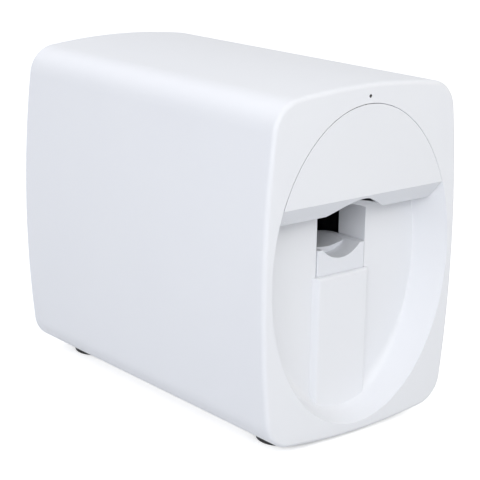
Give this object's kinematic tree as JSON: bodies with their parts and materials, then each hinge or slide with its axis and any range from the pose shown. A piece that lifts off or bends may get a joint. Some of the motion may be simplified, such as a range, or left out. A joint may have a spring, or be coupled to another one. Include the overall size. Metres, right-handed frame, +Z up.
{
  "type": "nail art printer",
  "caption": "Desktop digital nail printer: crowned white casing with an oval finger recess, a finger rest in a slot, and an inkjet carriage behind a flush front cover.",
  "frame": {"origin": "centre of the footprint on the ground, under the middle of the casing", "axes": "+Z up, front face towards -Y, +X to the right seen from the front"},
  "size_m": [0.138, 0.223, 0.192],
  "materials": {
    "casing_white": "satin moulded ABS",
    "cover_white": "satin moulded ABS",
    "foot_rubber": "matt rubber",
    "smoked_pipe": "smoked polycarbonate",
    "inner_black": "matt moulded plastic",
    "cartridge_shell": "moulded plastic",
    "bushing": "acetal",
    "nut_brass": "turned",
    "sheet_steel": "zinc plated",
    "ground_steel": "ground",
    "screw_steel": "plated",
    "motor_case": "black",
    "belt_rubber": "matt rubber",
    "soft_rubber": "soft rubber",
    "ink_pad": "felt",
    "lens_glass": "coated",
    "board_green": "solder mask",
    "component_black": "moulded",
    "sink_aluminium": "anodised",
    "port_steel": "plated",
    "magnet_nickel": "nickel plated"
  },
  "bodies": {
    "casing": {"base_plate": "casing_white", "base_screws": "screw_steel", "board_components": "component_black", "board_screws": "screw_steel", "case_screws": "screw_steel", "chassis_left": "sheet_steel", "chassis_right": "sheet_steel", "cross_brace": "sheet_steel", "dc_inlet": "component_black", "fan_frame": "inner_black", "foot_front_left": "foot_rubber", "foot_front_right": "foot_rubber", "foot_rear_left": "foot_rubber", "foot_rear_right": "foot_rubber", "front_panel": "casing_white", "heat_sink": "sink_aluminium", "housing_shell": "casing_white", "io_board": "board_green", "lamp_board": "board_green", "lift_motor": "motor_case", "lift_rod_left": "ground_steel", "lift_rod_right": "ground_steel", "lift_tower": "sheet_steel", "main_board": "board_green", "nozzle_cap": "soft_rubber", "panel_magnets": "magnet_nickel", "power_switch": "inner_black", "rear_panel": "casing_white", "service_tray": "inner_black", "status_light_pipe": "smoked_pipe", "usb_port": "port_steel", "waste_pad": "ink_pad", "wiper_blade": "soft_rubber", "y_motor": "motor_case", "y_rod_left": "ground_steel", "y_rod_right": "ground_steel"},
    "cover": {"front_cover": "cover_white", "cover_magnets": "magnet_nickel"},
    "finger_lift": {"finger_cradle": "cover_white", "finger_plate": "cover_white", "lift_bracket": "inner_black"},
    "lift_spindle": {"lift_screw": "ground_steel"},
    "gantry": {"gantry_frame": "inner_black", "gantry_bush_left": "bushing", "gantry_bush_right": "bushing", "drive_nut": "nut_brass", "x_rod_lower": "ground_steel", "x_rod_upper": "ground_steel", "x_motor": "motor_case", "drive_belt": "belt_rubber"},
    "travel_spindle": {"y_screw": "ground_steel"},
    "drive_wheel": {"drive_pulley": "bushing"},
    "idler_wheel": {"idler_pulley": "bushing"},
    "carriage": {"print_carriage": "inner_black", "ink_cartridge": "cartridge_shell", "camera_housing": "inner_black", "camera_lens": "lens_glass"},
    "latch": {"cartridge_latch": "inner_black"},
    "fan": {"fan_rotor": "inner_black"},
    "button": {"power_button": "cover_white"}
  },
  "joints": [
    {"name": "cover_pull", "type": "slide", "parent": "casing", "child": "cover", "axis": [0, -1, 0], "range_m": [0, 0.06]},
    {"name": "finger_height", "type": "slide", "parent": "casing", "child": "finger_lift", "axis": [0, 0, 1], "range_m": [0, 0.008]},
    {"name": "lift_screw_turn", "type": "hinge", "parent": "casing", "child": "lift_spindle", "pos_m": [0, -0.0555, 0.062], "axis": [0, 0, 1], "range_deg": [0, 1440]},
    {"name": "gantry_travel", "type": "slide", "parent": "casing", "child": "gantry", "axis": [0, -1, 0], "range_m": [0, 0.058]},
    {"name": "travel_screw_turn", "type": "hinge", "parent": "casing", "child": "travel_spindle", "pos_m": [0.0495, -0.0115, 0.14], "axis": [0, 1, 0], "range_deg": [0, 2611]},
    {"name": "carriage_travel", "type": "slide", "parent": "gantry", "child": "carriage", "axis": [1, 0, 0], "range_m": [-0.012, 0.02]},
    {"name": "drive_pulley_turn", "type": "hinge", "parent": "gantry", "child": "drive_wheel", "pos_m": [0.034, 0.037, 0.161], "axis": [0, 1, 0], "range_deg": [-204, 123]},
    {"name": "idler_pulley_turn", "type": "hinge", "parent": "gantry", "child": "idler_wheel", "pos_m": [-0.034, 0.037, 0.161], "axis": [0, 1, 0], "range_deg": [-204, 123]},
    {"name": "latch_turn", "type": "hinge", "parent": "carriage", "child": "latch", "pos_m": [0, -0.0323, 0.139], "axis": [1, 0, 0], "range_deg": [0, 35]},
    {"name": "fan_turn", "type": "hinge", "parent": "casing", "child": "fan", "pos_m": [0, 0.1035, 0.112], "axis": [0, 1, 0], "continuous": true},
    {"name": "button_press", "type": "slide", "parent": "casing", "child": "button", "axis": [0, -1, 0], "range_m": [0, 0.001], "stiffness_N_per_m": 500}
  ],
  "couplings": [
    {"joint": "lift_screw_turn", "follows": "finger_height", "rad_per_m": 3141.6},
    {"joint": "travel_screw_turn", "follows": "gantry_travel", "rad_per_m": 785.4},
    {"joint": "drive_pulley_turn", "follows": "carriage_travel", "rad_per_m": -176.99},
    {"joint": "idler_pulley_turn", "follows": "carriage_travel", "rad_per_m": -176.99}
  ]
}
